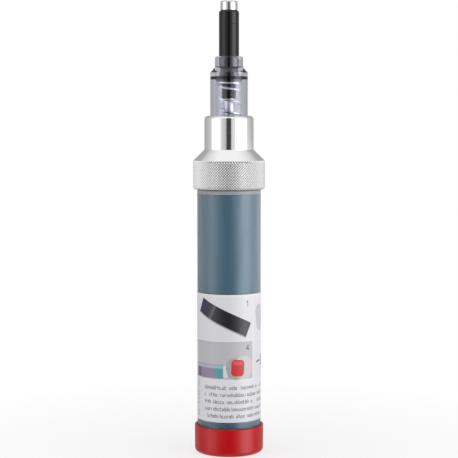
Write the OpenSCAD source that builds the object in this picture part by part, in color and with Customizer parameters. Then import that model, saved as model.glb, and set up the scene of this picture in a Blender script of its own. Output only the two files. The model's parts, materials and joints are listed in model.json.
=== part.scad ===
// Mini grease applicator: a push-type grease pump screwed onto a filled cartridge.
// Millimetres, +Z up. The origin is the centre of the end cap's underside.

/* [End cap] */
// Height of the cap, from its underside to its rim
cap_h = 15.4; // [10:0.1:24]
// Thickness of the cap's floor
cap_floor = 2; // [1.2:0.1:4]
// Thickness of the cap's wall at its rim
cap_wall = 1.45; // [1:0.05:2.5]
// Room all round between the cap and the cartridge
cap_clear = 0.15; // [0.1:0.05:0.5]
// Amount by which the cap's foot is narrower than its rim, on the radius
cap_draft = 0.1; // [0:0.05:0.4]
// Rounding of the cap's bottom edge
cap_round = 2.5; // [0.5:0.1:4]
// Bevel on the cap's rim, inside and outside
cap_rim_bevel = 0.4; // [0.1:0.05:0.5]

/* [Cartridge] */
// Outside diameter of the cartridge tube
tube_od = 35; // [30:0.5:40]
// Wall of the cartridge tube
tube_wall = 1.2; // [0.8:0.1:1.6]
// Length of the tube, from its foot to the shoulder under the neck
tube_len = 143.9; // [120:0.1:170]
// Height of the neck that carries the screw thread
neck_h = 11.2; // [8:0.1:12.5]
// Step from the tube's outside in to the core of the neck's thread
neck_step = 1.2; // [0.6:0.1:1.6]
// Wall of the neck, under its thread
neck_wall = 1.6; // [1.2:0.1:2.4]
// Height of the thick end of the tube, inside, below the shoulder
shoulder_h = 1.6; // [1:0.1:3]
// Bevel on the tube's shoulder and on the neck's mouth
tube_bevel = 0.5; // [0.2:0.1:0.6]
// Empty length between the grease and the thick end of the tube
grease_gap = 0.6; // [0.2:0.1:6]
// Thickness of the paper label
label_t = 0.12; // [0.05:0.01:0.2]
// Thickness of the glue under the label
label_glue = 0.03; // [0.02:0.01:0.1]
// Height of the label
label_h = 70.2; // [40:0.1:90]
// Bare tube between the cap's rim and the label
label_gap = 3.8; // [1:0.1:10]
// Part of a turn that the label covers, in degrees
label_wrap = 352; // [300:1:358]

/* [Follower] */
// Height of the follower piston
follower_h = 10; // [8:0.5:12]
// Room under the follower, down to the cap's floor
follower_lift = 2; // [1:0.5:4]
// Thickness of the follower's crown
follower_crown = 2; // [1:0.1:3]
// Wall of the follower's skirt, behind its sealing lips
follower_wall = 1.7; // [1:0.1:3]
// Depth of the waist between the two sealing lips
follower_waist = 0.9; // [0.4:0.1:1.5]
// Height of each sealing lip
follower_lip_h = 1.8; // [1:0.1:2.5]

/* [Adapter head] */
// Wall of the knurled ring, outside its thread
ring_wall = 2.7; // [2:0.1:5]
// Height of the knurled ring
ring_h = 15.5; // [14.5:0.1:20]
// Gap between the ring and the tube's shoulder when screwed home
ring_gap = 0.2; // [0.1:0.05:0.5]
// Rounding of the ring's lower edge
ring_round = 1.4; // [0.5:0.1:1.6]
// Height of the cone between the ring and the collar
cone_h = 6.3; // [4:0.1:10]
// Wall of the collar, outside the housing's socket
collar_wall = 3.15; // [2.4:0.05:6]
// Height of the collar
collar_h = 18.5; // [17:0.1:24]
// Width of the flat lip between that socket and the collar's rounded top edge
collar_lip = 0.65; // [0.3:0.05:1.2]
// Height of the collar's rounded top edge
collar_round_h = 1.9; // [0.5:0.1:3]
// Room for the thread form between the neck's core and the ring
thread_depth = 0.9; // [0.6:0.05:0.95]
// Thickness of the gasket on the cartridge's mouth
gasket_t = 1.2; // [0.8:0.1:2]
// Width across the funnel under the inlet valve
funnel_d = 13; // [8:0.5:20]

/* [Pump housing] */
// Outside diameter of the clear housing
housing_od = 20.6; // [20:0.1:21]
// Diameter of the cavity that the plunger's flange runs in
cavity_d = 15.2; // [15:0.1:16]
// Depth of the housing's socket in the collar
socket_depth = 13.5; // [10:0.5:14]
// Height of the clear body above the collar
body_h = 23.5; // [22:0.1:26]
// Height of the clear shoulder
housing_shoulder_h = 3; // [1.5:0.1:5]
// Distance from the top of the cavity up to the clear shoulder's lower edge
cavity_roof = 1.9; // [1:0.1:3]
// Outside diameter of the clear neck
guide_od = 15.5; // [14:0.1:18]
// Height of the clear neck
guide_h = 5.8; // [4:0.1:10]
// Rounding of the clear neck's top edge
guide_round = 1.2; // [0.4:0.1:1.8]
// Thickness of the seal under the housing
housing_seal_t = 1; // [0.6:0.1:1.5]

/* [Plunger] */
// Outside diameter of the black plunger tube
plunger_od = 11; // [10.6:0.1:11.2]
// Length of plunger that shows between the housing and the nozzle holder
plunger_show = 17.8; // [17.2:0.1:24]
// Travel of the plunger
stroke = 17; // [12:0.5:17]
// Height of the rubber stop ring
stop_ring_h = 2; // [1:0.1:3]
// Outside diameter of the flange that carries the return spring
flange_od = 14.4; // [14:0.1:14.8]
// Thickness of that flange
flange_t = 0.9; // [0.6:0.1:1.5]
// Outside diameter of the skirt below the flange
skirt_od = 7.8; // [7.4:0.1:8.6]
// Length of the skirt below the flange
skirt_len = 9.3; // [7:0.1:9.5]
// Outside diameter of the spigot that the nozzle holder screws onto
spigot_od = 8; // [7.6:0.1:8.4]
// Length of that spigot
spigot_h = 2.4; // [1.5:0.1:3]

/* [Piston] */
// Outside diameter of the fixed piston tube
piston_od = 6; // [5.6:0.1:6.2]
// Bore of the piston tube
piston_bore = 2.6; // [2:0.1:2.8]
// Length of piston inside the plunger at rest
piston_engage = 11.1; // [8:0.1:14]
// Free length left above the piston at the end of the stroke
chamber_spare = 1; // [0.5:0.1:2]
// Diameter of the piston's screwed foot
foot_d = 8; // [7.6:0.1:9]
// Length of the piston's screwed foot
foot_len = 6; // [5:0.1:6.5]
// Width across the flats of the piston's hexagon
hex_af = 9.5; // [9.2:0.1:9.8]
// Height of the piston's hexagon
hex_h = 3; // [2:0.1:4]
// Thickness of the gasket under the hexagon
foot_gasket_t = 0.6; // [0.4:0.1:1]
// Height of the piston's seal
seal_h = 1.8; // [1.2:0.1:2.5]
// Depth of the groove for the piston's seal
seal_depth = 0.8; // [0.5:0.05:1]
// Length of piston above that groove
seal_land = 0.9; // [0.6:0.1:1.5]

/* [Valves] */
// Diameter of the inlet ball
inlet_ball_d = 3.5; // [3:0.1:4]
// Diameter of the passage under the inlet ball
inlet_d = 2.2; // [1.6:0.1:2.3]
// Diameter of the pocket round the inlet ball
inlet_pocket_d = 4.6; // [4.4:0.1:5.2]
// Length of the passage under the inlet ball
inlet_len = 1; // [0.5:0.1:1.5]
// Depth of the pocket for the inlet spring in the piston's foot
inlet_spring_pocket = 3.5; // [2.5:0.1:4.5]
// Diameter of the outlet ball
outlet_ball_d = 4; // [3.6:0.1:4.4]
// Diameter of the passage under the outlet ball
outlet_d = 2.4; // [1.8:0.1:2.6]
// Diameter of the pocket round the outlet ball
outlet_pocket_d = 5.2; // [5:0.1:5.6]
// Length of the passage under the outlet ball
outlet_len = 2.5; // [1:0.1:4]

/* [Nozzle] */
// Outside diameter of the nozzle holder
holder_od = 11; // [10.6:0.1:12]
// Height of the nozzle holder
holder_h = 7.3; // [6.6:0.1:10]
// Bevel on the nozzle holder's top edge
holder_bevel = 0.9; // [0.3:0.1:0.9]
// Thickness of the web inside the nozzle holder
holder_web = 1; // [0.6:0.1:1.2]
// Outside diameter of the mouthpiece
tip_od = 9.4; // [9.2:0.1:9.6]
// Height of the mouthpiece above the holder
tip_h = 5.1; // [4:0.1:8]
// Rounding of the mouthpiece's top edge
tip_round = 1; // [0.3:0.1:1.1]
// Diameter of the shank that holds the mouthpiece
tip_shank_d = 7.4; // [7:0.1:7.8]
// Diameter of the passage through the mouthpiece
tip_bore = 2; // [1.4:0.1:2.4]
// Diameter of the mouth that takes a grease nipple's head
mouth_d = 6.7; // [6.5:0.05:6.9]
// Depth of the mouth's straight wall
mouth_depth = 2; // [1.4:0.1:2.4]

/* [Springs] */
// Wire of the return spring
spring_wire = 1.25; // [1:0.05:1.4]
// Outside diameter of the return spring
spring_od = 14.3; // [14:0.1:14.6]
// Turns of the return spring, with one closed turn at each end
spring_turns = 6.5; // [5:0.25:8]
// Direction in which the upper end of the return spring points, in degrees
spring_end_angle = 140; // [0:5:355]
// Wire of the inlet valve's spring
inlet_wire = 0.25; // [0.2:0.05:0.4]
// Outside diameter of the inlet valve's spring
inlet_spring_od = 3.2; // [2.8:0.1:3.3]
// Wire of the outlet valve's spring
outlet_wire = 0.3; // [0.2:0.05:0.5]
// Outside diameter of the outlet valve's spring
outlet_spring_od = 3.9; // [3.6:0.1:4.1]
// Turns of each valve spring, with one closed turn at each end
valve_turns = 6; // [5:0.5:7]

/* [Fits] */
// Room all round a piece that slides or turns in another
run_clear = 0.05; // [0.03:0.01:0.08]
// Room all round a piece that is screwed or pressed into another
seat_clear = 0.05; // [0.03:0.01:0.1]
// Room between soft or loose pieces that lie together
rest_gap = 0.05; // [0.02:0.01:0.1]
// Room between a valve spring and its ball
ball_gap = 0.1; // [0.05:0.01:0.15]

/* [Hidden] */
$fn = 96;

arc_steps = 6;            // straight facets in each rounded edge
seat_angle = 45;          // half angle of both valve seats
drill_angle = 59;         // half angle that a drill leaves at the end of a hole
funnel_angle = 60;        // half angle of the grease funnel
closed_pitch = 1.04;      // pitch of a closed turn, in wire diameters
left_hand = -1;
right_hand = 1;

// Radii, from the outside of the cartridge inwards
tube_r = tube_od / 2;
tube_in_r = tube_r - tube_wall;
neck_r = tube_r - neck_step;
neck_in_r = neck_r - neck_wall;
cap_in_r = tube_r + cap_clear;
cap_r = cap_in_r + cap_wall;
cap_foot_r = cap_r - cap_draft;
follower_r = tube_in_r - run_clear;
follower_in_r = follower_r - follower_waist - follower_wall;
ring_in_r = neck_r + thread_depth;
ring_r = ring_in_r + ring_wall;
housing_r = housing_od / 2;
socket_r = housing_r + seat_clear;
collar_r = socket_r + collar_wall;
collar_round_w = collar_wall - collar_lip;
cavity_r = cavity_d / 2;
guide_r = guide_od / 2;
plunger_r = plunger_od / 2;
guide_in_r = plunger_r + run_clear;
piston_r = piston_od / 2;
plunger_in_r = piston_r + run_clear;
seal_in_r = piston_r - seal_depth;
foot_r = foot_d / 2;
foot_socket_r = foot_r + seat_clear;
spigot_r = spigot_od / 2;
holder_r = holder_od / 2;
shank_r = tip_shank_d / 2;
outlet_pocket_r = outlet_pocket_d / 2;
inlet_pocket_r = inlet_pocket_d / 2;
inlet_spring_pocket_r = inlet_spring_od / 2 + inlet_wire;
mouth_r = mouth_d / 2;

// Levels of the cartridge
tube_z = cap_floor;
shoulder_z = tube_z + tube_len;
neck_z = shoulder_z + neck_h;
thick_z = shoulder_z - shoulder_h;
follower_z = tube_z + follower_lift;
grease_z = follower_z + follower_h + rest_gap;
grease_top_z = thick_z - grease_gap;
label_z = cap_h + label_gap;

// Levels of the adapter head
ring_z = shoulder_z + ring_gap;
cone_z = ring_z + ring_h;
collar_z = cone_z + cone_h;
collar_top_z = collar_z + collar_h;
gasket_z = neck_z + rest_gap;
roof_z = gasket_z + gasket_t + rest_gap;
floor_z = collar_top_z - socket_depth;
foot_z = floor_z - foot_len;

// Levels of the inlet valve
funnel_r = funnel_d / 2;
inlet_z = roof_z + (funnel_r - inlet_d / 2) / tan(funnel_angle);
inlet_seat_z = inlet_z + inlet_len;
inlet_ball_z = ball_level(inlet_seat_z, inlet_ball_d, inlet_d);
inlet_spring_z = spring_level(inlet_ball_z, inlet_ball_d, inlet_spring_od, inlet_wire);
inlet_spring_top_z = foot_z + inlet_spring_pocket;

// Levels of the housing
housing_z = floor_z + housing_seal_t;
housing_shoulder_z = collar_top_z + body_h;
cavity_top_z = housing_shoulder_z - cavity_roof;
guide_z = housing_shoulder_z + housing_shoulder_h;
guide_top_z = guide_z + guide_h;

// Levels of the plunger and of the fixed piston inside it
stop_ring_z = cavity_top_z - stop_ring_h;
flange_z = stop_ring_z - flange_t;
skirt_z = flange_z - skirt_len;
piston_top_z = skirt_z + piston_engage;
chamber_top_z = piston_top_z + stroke + chamber_spare;
outlet_z = chamber_top_z + (plunger_in_r - outlet_d / 2) / tan(drill_angle);
outlet_seat_z = outlet_z + outlet_len;
outlet_ball_z = ball_level(outlet_seat_z, outlet_ball_d, outlet_d);
outlet_spring_z = spring_level(outlet_ball_z, outlet_ball_d, outlet_spring_od, outlet_wire);
hex_z = floor_z + foot_gasket_t;
seal_z = piston_top_z - seal_land - seal_h;

// Levels of the nozzle
holder_z = guide_top_z + plunger_show;
spigot_top_z = holder_z + spigot_h;
web_z = spigot_top_z + rest_gap;
shank_z = web_z + holder_web + rest_gap;
tip_z = holder_z + holder_h;
tip_top_z = tip_z + tip_h;

// Height of a ball's centre above its conical seat, with room for the ball to rest
function ball_level(seat_z, ball_d, hole_d) =
    seat_z - hole_d / 2 / tan(seat_angle) + (ball_d / 2 + rest_gap) / sin(seat_angle);

// Height of the lower end of a spring that stands on a ball
function spring_level(ball_z, ball_d, od, wire) =
    ball_z + sqrt(pow((ball_d + wire) / 2 + ball_gap, 2) - pow((od - wire) / 2, 2)) - wire / 2;

// Points of an elliptical arc with half axes rx and ry
function arc(cx, cy, rx, ry, from, to) = [
    for (i = [0:arc_steps])
        let (a = from + (to - from) * i / arc_steps) [cx + rx * cos(a), cy + ry * sin(a)]
];

// Height of a coil's wire after t turns, measured from the spring's lower end
function coil_height(t, turns, len, wire) =
    let (
        rise = wire * closed_pitch,
        pitch = (len - wire - 2 * rise) / (turns - 2)
    )
    wire / 2 + (
        t < 1 ? t * rise
        : t < turns - 1 ? rise + (t - 1) * pitch
        : len - wire - (turns - t) * rise
    );

// A coil spring that stands on z = 0, with a closed turn at each end
module coil_spring(od, wire, turns, len, hand, end_angle, rings_per_turn, sides) {
    coil_r = (od - wire) / 2;
    rings = ceil(turns * rings_per_turn);
    lean = atan2((len - wire) / turns, 2 * PI * coil_r);
    points = [
        for (i = [0:rings])
            let (
                t = turns * i / rings,
                a = end_angle - hand * 360 * (turns - t),
                out = [cos(a), sin(a), 0],
                up = [hand * sin(lean) * sin(a), -hand * sin(lean) * cos(a), cos(lean)],
                centre = coil_r * out + [0, 0, coil_height(t, turns, len, wire)]
            )
            for (k = [0:sides - 1])
                centre + wire / 2 * (cos(360 * k / sides) * out + sin(360 * k / sides) * up)
    ];
    walls = [
        for (i = [0:rings - 1], k = [0:sides - 1])
            let (
                a = i * sides + k,
                b = i * sides + (k + 1) % sides,
                quad = [a, b, b + sides, a + sides]
            )
            hand < 0 ? reversed(quad) : quad
    ];
    first = [for (k = [0:sides - 1]) k];
    last = [for (k = [0:sides - 1]) rings * sides + k];
    first_cap = hand < 0 ? first : reversed(first);
    last_cap = hand < 0 ? reversed(last) : last;
    polyhedron(points, concat(walls, [first_cap, last_cap]));
}

function reversed(list) = [for (i = [len(list) - 1:-1:0]) list[i]];

// A plain ring or washer that stands on z
module washer(z, inner_r, outer_r, height) {
    translate([0, 0, z])
        difference() {
            cylinder(r = outer_r, h = height);
            translate([0, 0, -height])
                cylinder(r = inner_r, h = 3 * height);
        }
}

module end_cap() {
    color("firebrick")
        rotate_extrude()
            polygon(concat(
                [[0, 0]],
                arc(cap_foot_r - cap_round, cap_round, cap_round, cap_round, -90, 0),
                [
                    [cap_r, cap_h - cap_rim_bevel],
                    [cap_r - cap_rim_bevel, cap_h],
                    [cap_in_r + cap_rim_bevel, cap_h],
                    [cap_in_r, cap_h - cap_rim_bevel],
                    [cap_in_r, cap_floor],
                    [0, cap_floor]
                ]
            ));
}

module cartridge_tube() {
    color("slategray")
        rotate_extrude()
            polygon([
                [tube_in_r, tube_z],
                [tube_r, tube_z],
                [tube_r, shoulder_z - tube_bevel],
                [tube_r - tube_bevel, shoulder_z],
                [neck_r, shoulder_z],
                [neck_r, neck_z - tube_bevel],
                [neck_r - tube_bevel, neck_z],
                [neck_in_r, neck_z],
                [neck_in_r, shoulder_z],
                [tube_in_r, thick_z]
            ]);
}

module label() {
    color("gainsboro")
        rotate([0, 0, 90 + (360 - label_wrap) / 2])
            rotate_extrude(angle = label_wrap)
                translate([tube_r + label_glue, label_z])
                    square([label_t, label_h]);
}

module grease_fill() {
    color("darkslategray")
        translate([0, 0, grease_z])
            cylinder(r = tube_in_r - rest_gap, h = grease_top_z - grease_z);
}

// A cup that opens downwards, with a sealing lip at each end
module follower_piston() {
    top_z = follower_z + follower_h;
    waist_r = follower_r - follower_waist;
    color("whitesmoke")
        rotate_extrude()
            polygon([
                [follower_in_r, follower_z],
                [waist_r, follower_z],
                [follower_r, follower_z + follower_waist],
                [follower_r, follower_z + follower_lip_h],
                [waist_r, follower_z + follower_lip_h + follower_waist],
                [waist_r, top_z - follower_lip_h - follower_waist],
                [follower_r, top_z - follower_lip_h],
                [follower_r, top_z - follower_waist],
                [waist_r, top_z],
                [0, top_z],
                [0, top_z - follower_crown],
                [follower_in_r, top_z - follower_crown]
            ]);
}

module cartridge_gasket() {
    color("dimgray")
        washer(gasket_z, neck_in_r, ring_in_r - seat_clear, gasket_t);
}

// Knurled ring, cone and collar, turned from one bar, with the inlet valve's seat inside
module adapter_head() {
    seat_top_z = inlet_seat_z + (inlet_pocket_r - inlet_d / 2) / tan(seat_angle);
    color("silver")
        rotate_extrude()
            polygon(concat(
                [[ring_in_r, ring_z + tube_bevel], [ring_in_r + tube_bevel, ring_z]],
                arc(ring_r - ring_round, ring_z + ring_round, ring_round, ring_round, -90, 0),
                [[ring_r, cone_z], [collar_r, collar_z]],
                arc(
                    collar_r - collar_round_w, collar_top_z - collar_round_h,
                    collar_round_w, collar_round_h, 0, 90
                ),
                [
                    [socket_r, collar_top_z],
                    [socket_r, floor_z],
                    [foot_socket_r, floor_z],
                    [foot_socket_r, foot_z],
                    [inlet_pocket_r, foot_z],
                    [inlet_pocket_r, seat_top_z],
                    [inlet_d / 2, inlet_seat_z],
                    [inlet_d / 2, inlet_z],
                    [funnel_r, roof_z],
                    [ring_in_r, roof_z]
                ]
            ));
}

module inlet_ball() {
    color("lightsteelblue")
        translate([0, 0, inlet_ball_z])
            sphere(d = inlet_ball_d);
}

module inlet_spring() {
    color("lightgray")
        translate([0, 0, inlet_spring_z])
            coil_spring(
                inlet_spring_od, inlet_wire, valve_turns,
                inlet_spring_top_z - inlet_spring_z - rest_gap, right_hand, 0, 14, 6
            );
}

module foot_gasket() {
    color("peru")
        washer(floor_z, foot_r + seat_clear, hex_af / 2, foot_gasket_t);
}

// Hollow piston that stands on the head, with a hexagon to screw it in by
module piston_tube() {
    color("lightsteelblue")
        difference() {
            union() {
                rotate_extrude()
                    polygon([
                        [piston_bore / 2, foot_z],
                        [foot_r, foot_z],
                        [foot_r, hex_z],
                        [piston_r, hex_z],
                        [piston_r, seal_z],
                        [seal_in_r, seal_z],
                        [seal_in_r, seal_z + seal_h],
                        [piston_r, seal_z + seal_h],
                        [piston_r, piston_top_z],
                        [piston_bore / 2, piston_top_z]
                    ]);
                translate([0, 0, hex_z])
                    difference() {
                        cylinder(d = hex_af / cos(30), h = hex_h, $fn = 6);
                        translate([0, 0, -hex_h])
                            cylinder(d = piston_bore, h = 3 * hex_h);
                    }
            }
            translate([0, 0, foot_z - foot_len])
                cylinder(r = inlet_spring_pocket_r, h = foot_len + inlet_spring_pocket);
        }
}

module piston_seal() {
    color("dimgray")
        washer(seal_z, seal_in_r, plunger_in_r - run_clear / 2, seal_h);
}

module housing_seal() {
    color("dimgray")
        washer(floor_z, cavity_r, housing_r, housing_seal_t);
}

// Clear body with a shoulder and a neck that guides the plunger
module pump_housing() {
    color("lavender", 0.5)
        rotate_extrude()
            polygon(concat(
                [
                    [cavity_r, housing_z],
                    [housing_r, housing_z],
                    [housing_r, housing_shoulder_z],
                    [guide_r, guide_z]
                ],
                arc(guide_r - guide_round, guide_top_z - guide_round, guide_round, guide_round, 0, 90),
                [
                    [guide_in_r, guide_top_z],
                    [guide_in_r, cavity_top_z],
                    [cavity_r, cavity_top_z]
                ]
            ));
}

module return_spring() {
    color("lightgray")
        translate([0, 0, floor_z])
            coil_spring(
                spring_od, spring_wire, spring_turns,
                flange_z - floor_z, left_hand, spring_end_angle, 24, 8
            );
}

module stop_ring() {
    color("dimgray")
        washer(stop_ring_z, plunger_r + seat_clear, cavity_r - run_clear, stop_ring_h);
}

// Black tube that slides on the piston, with the outlet valve's seat near its top
module plunger_tube() {
    seat_top_z = outlet_seat_z + (outlet_pocket_r - outlet_d / 2) / tan(seat_angle);
    color("dimgray")
        rotate_extrude()
            polygon([
                [plunger_in_r, skirt_z],
                [skirt_od / 2, skirt_z],
                [skirt_od / 2, flange_z],
                [flange_od / 2, flange_z],
                [flange_od / 2, stop_ring_z],
                [plunger_r, stop_ring_z],
                [plunger_r, holder_z],
                [spigot_r, holder_z],
                [spigot_r, spigot_top_z],
                [outlet_pocket_r, spigot_top_z],
                [outlet_pocket_r, seat_top_z],
                [outlet_d / 2, outlet_seat_z],
                [outlet_d / 2, outlet_z],
                [plunger_in_r, chamber_top_z]
            ]);
}

module outlet_ball() {
    color("lightsteelblue")
        translate([0, 0, outlet_ball_z])
            sphere(d = outlet_ball_d);
}

module outlet_spring() {
    color("lightgray")
        translate([0, 0, outlet_spring_z])
            coil_spring(
                outlet_spring_od, outlet_wire, valve_turns,
                shank_z - outlet_spring_z - rest_gap, right_hand, 0, 14, 6
            );
}

module nozzle_holder() {
    color("dimgray")
        rotate_extrude()
            polygon([
                [spigot_r + seat_clear, holder_z],
                [holder_r, holder_z],
                [holder_r, tip_z - holder_bevel],
                [holder_r - holder_bevel, tip_z],
                [shank_r + seat_clear, tip_z],
                [shank_r + seat_clear, web_z + holder_web],
                [outlet_pocket_r, web_z + holder_web],
                [outlet_pocket_r, web_z],
                [spigot_r + seat_clear, web_z]
            ]);
}

// Steel mouthpiece with a cupped mouth for a grease nipple
module nozzle_tip() {
    mouth_z = tip_top_z - mouth_depth;
    color("lightsteelblue")
        rotate_extrude()
            polygon(concat(
                [
                    [tip_bore / 2, shank_z],
                    [shank_r, shank_z],
                    [shank_r, tip_z],
                    [tip_od / 2, tip_z]
                ],
                arc(tip_od / 2 - tip_round, tip_top_z - tip_round, tip_round, tip_round, 0, 90),
                [
                    [mouth_r, tip_top_z],
                    [mouth_r, mouth_z],
                    [tip_bore / 2, mouth_z - (mouth_r - tip_bore / 2) / tan(drill_angle)]
                ]
            ));
}

end_cap();
cartridge_tube();
label();
grease_fill();
follower_piston();
cartridge_gasket();
adapter_head();
inlet_ball();
inlet_spring();
foot_gasket();
piston_tube();
piston_seal();
housing_seal();
pump_housing();
return_spring();
stop_ring();
plunger_tube();
outlet_ball();
outlet_spring();
nozzle_holder();
nozzle_tip();
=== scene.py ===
"""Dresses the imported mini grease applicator: turned and wound pieces, their finishes and a studio."""
import json
from math import atan2, ceil, cos, degrees, hypot, pi, radians, sin, tan

import bpy
from bpy.props import FloatProperty, FloatVectorProperty, PointerProperty
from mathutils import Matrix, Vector

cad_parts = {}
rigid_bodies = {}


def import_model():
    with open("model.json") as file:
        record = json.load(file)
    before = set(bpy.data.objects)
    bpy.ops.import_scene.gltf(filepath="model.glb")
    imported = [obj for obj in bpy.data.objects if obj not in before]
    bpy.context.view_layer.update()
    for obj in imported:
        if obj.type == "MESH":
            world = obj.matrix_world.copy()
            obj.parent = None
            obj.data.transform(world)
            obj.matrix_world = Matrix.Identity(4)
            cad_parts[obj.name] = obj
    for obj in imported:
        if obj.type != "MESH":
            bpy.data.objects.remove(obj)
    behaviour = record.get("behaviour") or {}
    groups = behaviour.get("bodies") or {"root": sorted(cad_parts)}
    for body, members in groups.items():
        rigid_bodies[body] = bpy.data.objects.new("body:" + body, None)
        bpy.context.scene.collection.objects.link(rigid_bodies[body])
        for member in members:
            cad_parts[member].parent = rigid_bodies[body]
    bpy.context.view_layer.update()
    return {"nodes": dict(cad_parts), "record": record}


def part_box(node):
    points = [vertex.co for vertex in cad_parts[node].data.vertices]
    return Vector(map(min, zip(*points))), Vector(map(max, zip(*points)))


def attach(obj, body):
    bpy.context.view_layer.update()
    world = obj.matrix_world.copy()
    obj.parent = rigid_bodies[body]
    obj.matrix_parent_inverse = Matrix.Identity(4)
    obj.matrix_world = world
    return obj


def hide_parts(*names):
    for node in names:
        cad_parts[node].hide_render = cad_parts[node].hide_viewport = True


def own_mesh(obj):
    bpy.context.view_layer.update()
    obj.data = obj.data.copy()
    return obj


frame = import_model()

bl_info = {
    "name": "Mini grease applicator",
    "version": (1, 0, 0),
    "blender": (4, 5, 0),
    "location": "View3D > Sidebar > Applicator",
    "description": "Models the pieces, finishes and studio of a push-type mini grease applicator",
    "category": "Object",
}

MM = 0.001
FULL_TURN = 2 * pi
# Vertices closer than WELD are merged, and those closer than NEAR to a place count as being there
WELD = 2e-6
NEAR = 1e-5
# Angles from which an edge is shaded as an edge, and from which it is bevelled
CREASE = radians(28)
SHARP = radians(35)
# Widths of the edge breaks in an outline, and of the bevels made afterwards
BREAK = 0.15 * MM
SOFT_EDGE = 0.12 * MM
# How far the floor lies under the cap, and the width of the camera's sensor, given in millimetres
FLOOR_GAP = 0.02 * MM
SENSOR = 36
# Refractive index of the clear and the frosted plastic
PLASTIC_IOR = 1.49


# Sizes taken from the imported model

def low(node):
    """Height of a node's lowest point."""
    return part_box(node)[0].z


def high(node):
    """Height of a node's highest point."""
    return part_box(node)[1].z


def reach(node):
    """Largest radius of a round node."""
    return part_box(node)[1].x


def span(node):
    """Heights of a node's lowest and highest points."""
    return low(node), high(node)


def joint_travel(name):
    """How far a sliding joint of the record travels."""
    joints = {joint["name"]: joint for joint in frame["record"]["behaviour"]["joints"]}
    return joints[name]["range_m"][1]


def coil_radius(node, wire):
    """Radius of a spring's coil, at the middle of its wire."""
    start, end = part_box(node)
    return max(end.x, -start.x) - wire / 2


def kept_share(node, joint):
    """What is left of a node's height at the end of a joint's travel."""
    bottom, top = span(node)
    return 1 - joint_travel(joint) / (top - bottom)


# Settings that a user would change

def srgb(red, green, blue):
    """A colour given as 0 to 255 on screen, as the linear values that Blender works in."""
    def linear(value):
        share = value / 255
        return share / 12.92 if share <= 0.04045 else ((share + 0.055) / 1.055) ** 2.4
    return linear(red), linear(green), linear(blue)


def length(name, description, default):
    """A length, written here in millimetres."""
    return FloatProperty(
        name=name, description=description, default=default * MM, min=0, precision=5,
        subtype="DISTANCE", unit="LENGTH",
    )


def share(name, description, default):
    """A number without a unit."""
    return FloatProperty(name=name, description=description, default=default, min=0)


def angle(name, description, default):
    """An angle, written here in degrees."""
    return FloatProperty(
        name=name, description=description, default=radians(default), subtype="ANGLE", unit="ROTATION",
    )


def colour(name, description, default):
    """A linear colour."""
    return FloatVectorProperty(
        name=name, description=description, default=default, size=3, min=0, max=1, subtype="COLOR",
    )


class EndCapSettings(bpy.types.PropertyGroup):
    """Red cap on the cartridge's foot."""
    wall: length("Wall", "Thickness of the wall at the rim", 1.45)
    floor: length("Floor", "Thickness of the floor", low("cartridge_tube") / MM)
    draft: length("Draft", "How much narrower the foot is than the rim, on the radius", 0.1)
    foot_round: length("Foot rounding", "Rounding of the bottom edge", 2.5)
    rim_round: length("Rim rounding", "Rounding of the rim, inside and outside", 0.45)
    gate_radius: length("Gate mark", "Radius of the moulding's gate mark in the underside", 1.6)
    gate_depth: length("Gate depth", "Depth of that mark", 0.4)
    red: colour("Red", "Colour of the cap", srgb(198, 8, 16))


class CartridgeSettings(bpy.types.PropertyGroup):
    """Frosted tube, its neck, its label, the grease and the follower."""
    wall: length("Wall", "Wall of the tube", 1.2)
    neck_height: length("Neck height", "Height of the threaded neck", 11.2)
    neck_step: length("Neck step", "Step from the tube in to the thread's core", 1.2)
    neck_wall: length("Neck wall", "Wall of the neck under its thread", 1.6)
    shoulder: length("Shoulder", "Height of the tube's thick end, inside", 1.6)
    edge: length("Edge", "Bevel of the shoulder and of the mouth", 0.5)
    thread_pitch: length("Thread pitch", "Rise of the screw thread in one turn", 3)
    thread_height: length("Thread height", "Height of the thread's ridge", 0.62)
    thread_start: length("Thread start", "Height of the thread's start above the shoulder", 0.5)
    sag: length("Sag", "How far the grease sags in the middle of its top", 0.6)
    label_paper: length("Paper", "Thickness of the label's paper", 0.12)
    label_wrap: angle("Label wrap", "Part of a turn that the label covers", 352)
    follower_wall: length("Follower wall", "Wall of the follower's skirt", 1.7)
    follower_waist: length("Follower waist", "Depth of the waist between its lips", 0.9)
    follower_lip: length("Follower lip", "Height of each of its lips", 1.8)
    follower_crown: length("Follower crown", "Thickness of its crown", 2)
    frost: colour("Frosted plastic", "Tint of the tube", srgb(232, 240, 244))
    bare: colour("Bare plastic", "Colour of the tube where no grease shows through it", srgb(175, 178, 183))
    grease: colour("Grease", "Colour of the grease", srgb(82, 138, 162))


class HeadSettings(bpy.types.PropertyGroup):
    """Aluminium head: knurled ring, cone and collar."""
    ring_wall: length("Ring wall", "Wall of the knurled ring outside its thread", 2.7)
    ring_height: length("Ring height", "Height of the knurled ring", 15.5)
    ring_round: length("Ring rounding", "Rounding of the ring's lower edge", 1.4)
    cone_height: length("Cone height", "Height of the cone", 6.3)
    collar_wall: length("Collar wall", "Wall of the collar outside the socket", 3.15)
    collar_lip: length("Collar lip", "Flat lip round the socket", 0.65)
    collar_round: length("Collar rounding", "Height of the collar's rounded top edge", 1.9)
    funnel_radius: length("Funnel", "Radius of the grease funnel in the roof", 6.5)
    pocket_gap: length("Valve pocket", "Room round the inlet ball", 0.5)
    knurl_pitch: length("Knurl pitch", "Distance from one diamond of the knurl to the next", 1.5)
    knurl_depth: length("Knurl depth", "Depth of the knurl's grooves", 0.45)
    metal: colour("Aluminium", "Colour of the polished metal", (0.90, 0.895, 0.89))


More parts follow.
